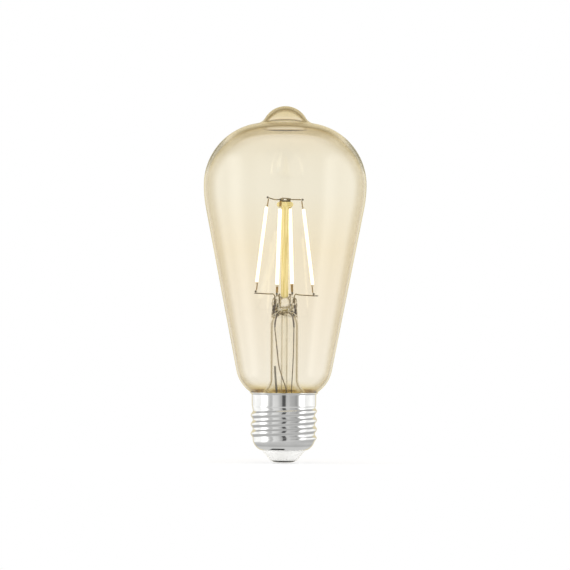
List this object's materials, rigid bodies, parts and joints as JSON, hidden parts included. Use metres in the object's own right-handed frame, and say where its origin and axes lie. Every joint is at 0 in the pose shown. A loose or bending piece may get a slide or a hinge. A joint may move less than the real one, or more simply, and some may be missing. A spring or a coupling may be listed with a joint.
{
  "type": "smart light bulb",
  "caption": "Tall tapered filament-style LED bulb with amber glass, an upright filament cage on a glass stem and a standard Edison screw cap.",
  "frame": {"origin": "centre of the flat face of the centre contact, at the bottom of the screw cap", "axes": "+Z along the bulb's axis from the cap to the tip of the glass; -Y towards the viewer, +X to the viewer's right, with the thread's start fixed to +X"},
  "size_m": [0.064, 0.064, 0.14],
  "materials": {
    "amber_glass": "clear blown glass with a thin amber coat",
    "stem_glass": "clear glass",
    "rod_glass": "clear glass, fire polished",
    "support_wire": "drawn nickel-plated wire, slightly oxidised",
    "clip_metal": "stamped strip, oxidised",
    "strip_ceramic": "fired alumina",
    "led_chip": "clear gallium nitride die",
    "phosphor": "phosphor-filled silicone, lit",
    "pin_steel": "nickel-plated steel",
    "seal_copper": "copper-clad seal wire",
    "lead_copper": "tinned copper wire",
    "antenna_metal": "tinned wire, dull",
    "nickel_shell": "bright nickel plate on brass",
    "cap_plastic": "white moulded plastic",
    "contact_nickel": "bright nickel plate",
    "cement": "cured basing cement",
    "sleeve_plastic": "moulded insulating sleeve",
    "board_green": "glass epoxy with solder mask",
    "board_blue": "glass epoxy with solder mask",
    "chip_black": "moulded epoxy",
    "capacitor_can": "shrink sleeve",
    "ferrite": "sintered ferrite",
    "winding": "enamelled copper",
    "resistor_body": "cement-coated resistor",
    "ceramic_tan": "ceramic capacitor",
    "shield_metal": "tinned steel can",
    "live_insulation": "insulated wire",
    "neutral_insulation": "insulated wire",
    "solder": "tin solder"
  },
  "bodies": {
    "root": {"glass_envelope": "amber_glass", "stem_flare": "stem_glass", "exhaust_tube": "stem_glass", "support_rod": "rod_glass", "rod_bead": "rod_glass", "bead_clip": "clip_metal", "top_wire_1": "support_wire", "top_wire_2": "support_wire", "top_wire_3": "support_wire", "top_wire_4": "support_wire", "filament_strip_1": "strip_ceramic", "filament_strip_2": "strip_ceramic", "filament_strip_3": "strip_ceramic", "filament_strip_4": "strip_ceramic", "filament_chips_1": "led_chip", "filament_chips_2": "led_chip", "filament_chips_3": "led_chip", "filament_chips_4": "led_chip", "filament_coat_1": "phosphor", "filament_coat_2": "phosphor", "filament_coat_3": "phosphor", "filament_coat_4": "phosphor", "filament_pins_1": "pin_steel", "filament_pins_2": "pin_steel", "filament_pins_3": "pin_steel", "filament_pins_4": "pin_steel", "inner_lead_left": "support_wire", "inner_lead_right": "support_wire", "branch_wire_front": "support_wire", "branch_wire_back": "support_wire", "weld_knots": "pin_steel", "seal_wire_left": "seal_copper", "seal_wire_right": "seal_copper", "outer_lead_left": "lead_copper", "outer_lead_right": "lead_copper", "screw_shell": "nickel_shell", "insulator": "cap_plastic", "centre_contact": "contact_nickel", "basing_cement": "cement", "driver_sleeve": "sleeve_plastic", "driver_board": "board_green", "bridge_rectifier": "chip_black", "capacitor": "capacitor_can", "choke_core": "ferrite", "choke_winding": "winding", "fuse_resistor": "resistor_body", "driver_chip": "chip_black", "chip_resistors": "chip_black", "chip_capacitors": "ceramic_tan", "radio_board": "board_blue", "radio_shield": "shield_metal", "antenna_wire": "antenna_metal", "live_wire": "live_insulation", "neutral_wire": "neutral_insulation", "solder_joints": "solder"}
  },
  "joints": []
}
